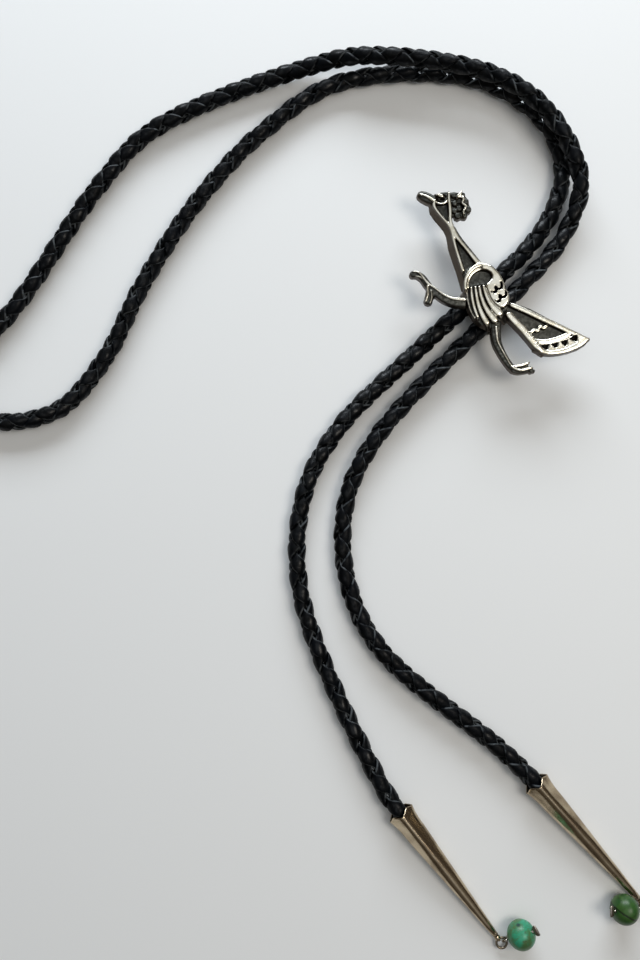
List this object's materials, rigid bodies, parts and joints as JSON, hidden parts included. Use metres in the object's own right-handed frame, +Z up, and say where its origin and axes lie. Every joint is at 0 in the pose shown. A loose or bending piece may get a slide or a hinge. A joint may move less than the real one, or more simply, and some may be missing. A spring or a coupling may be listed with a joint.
{
  "type": "bolo tie",
  "caption": "Bolo tie lying open: cast silver running-bird slide on a braided black leather cord, with tapered silver tips that end in turquoise beads.",
  "frame": {"origin": "the middle of the keeper's flat back, which rests on the surface behind the bird", "axes": "+Z up from the surface out of the bird's face, +X towards the bird's tail, +Y towards its crest"},
  "size_m": [0.1936, 0.2535, 0.0117],
  "materials": {
    "slide_silver": "polished cast silver with dark tarnish in the recesses",
    "keeper_silver": "satin silver sheet",
    "cord_leather": "smooth black leather laces, braided round, with paler cut edges",
    "tip_silver": "polished silver, slightly yellowed",
    "left_turquoise": "polished blue-green turquoise with olive mottling",
    "right_turquoise": "polished dark green turquoise with brown matrix",
    "pin_silver": "polished silver wire with a hammered paddle end"
  },
  "bodies": {
    "root": {"bird_slide": "slide_silver", "cord_keeper": "keeper_silver", "braided_cord": "cord_leather", "left_tip": "tip_silver", "right_tip": "tip_silver", "left_bead": "left_turquoise", "right_bead": "right_turquoise", "left_bead_pin": "pin_silver", "right_bead_pin": "pin_silver"}
  },
  "joints": []
}
